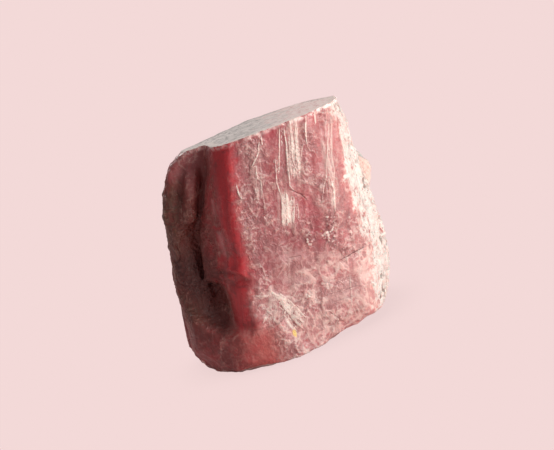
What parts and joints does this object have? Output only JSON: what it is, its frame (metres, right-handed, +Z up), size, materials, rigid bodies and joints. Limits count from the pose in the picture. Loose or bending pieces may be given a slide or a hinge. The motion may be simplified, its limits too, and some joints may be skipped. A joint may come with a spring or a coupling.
{
  "type": "raw ruby crystal",
  "caption": "Stubby raw ruby prism, wider at its foot, with a flat grey top, growth-lined faces and a deep hollow beside a smaller grown-on column.",
  "frame": {"origin": "on the plane of the flat base, under the middle of the bounding box", "axes": "+Z up along the height, -Y towards the broad front face, +X towards the side that stands nearly upright"},
  "size_m": [0.0258, 0.017, 0.024],
  "materials": {
    "ruby_rough": "uneven, waxy to glassy, dusky red with pale growth lines"
  },
  "bodies": {
    "root": {"ruby_crystal": "ruby_rough"}
  },
  "joints": []
}
